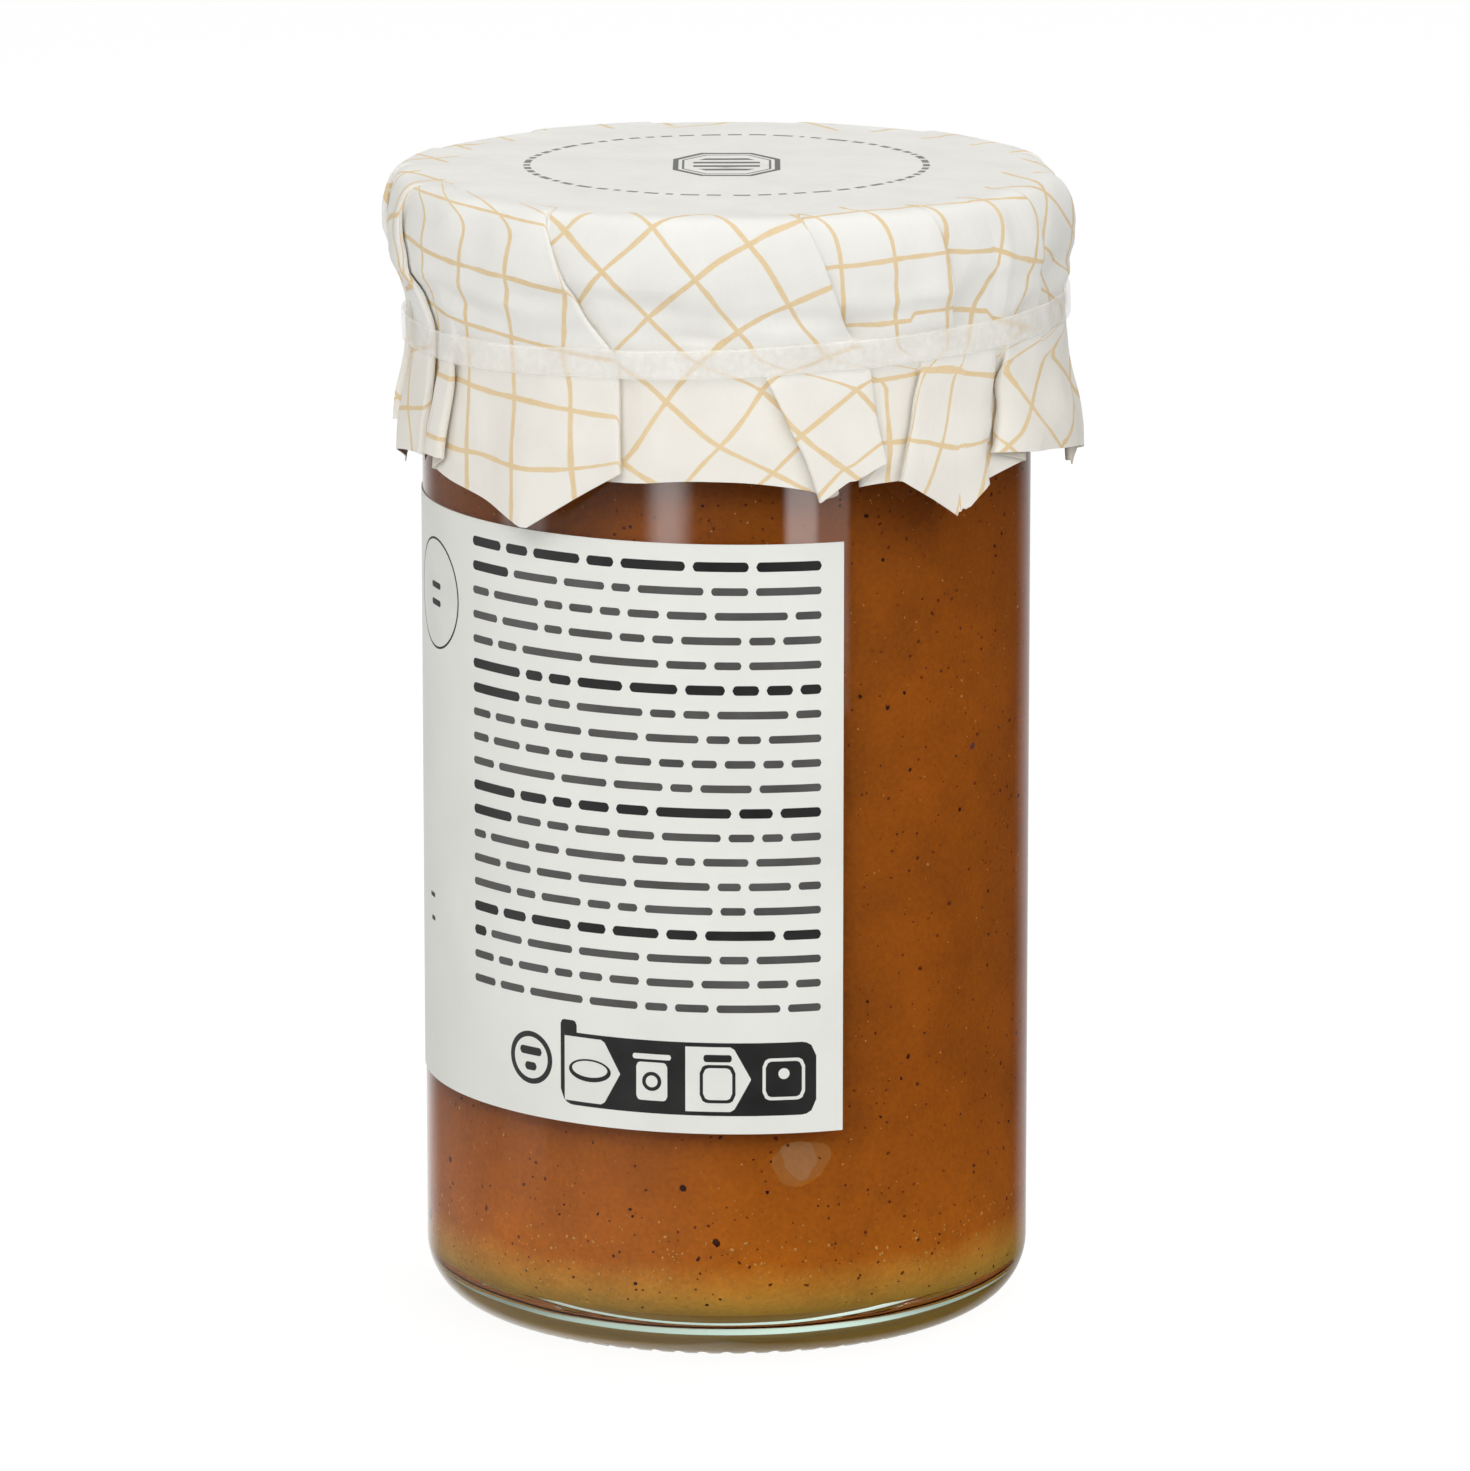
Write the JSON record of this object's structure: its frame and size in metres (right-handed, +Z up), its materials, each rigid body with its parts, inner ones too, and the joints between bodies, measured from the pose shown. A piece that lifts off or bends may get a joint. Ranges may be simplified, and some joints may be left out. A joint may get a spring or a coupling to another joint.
{
  "type": "jar of fruit curd",
  "caption": "Tall clear glass jar of orange spice curd with a pleated paper cover tied down by a flat elastic band and a paper label round the body",
  "frame": {"origin": "centre of the circle the jar stands on, at the floor", "axes": "+Z up along the jar's axis, front of the jar (the label's visible end) towards -Y, +X to the right seen from the front"},
  "size_m": [0.0761, 0.0744, 0.125],
  "materials": {
    "glass": "clear polished glass, faintly green in the thick foot",
    "curd": "opaque brown-orange curd with dark specks, moist",
    "lid_metal": "lacquered tinplate, hidden by the paper",
    "cover_paper": "uncoated cream paper printed with a thin ochre line grid",
    "band_rubber": "milky, slightly glossy elastic",
    "label_paper": "matte off-white paper"
  },
  "bodies": {
    "root": {"glass_jar": "glass", "curd": "curd", "lid": "lid_metal", "paper_cover": "cover_paper", "elastic_band": "band_rubber", "label": "label_paper"}
  },
  "joints": []
}
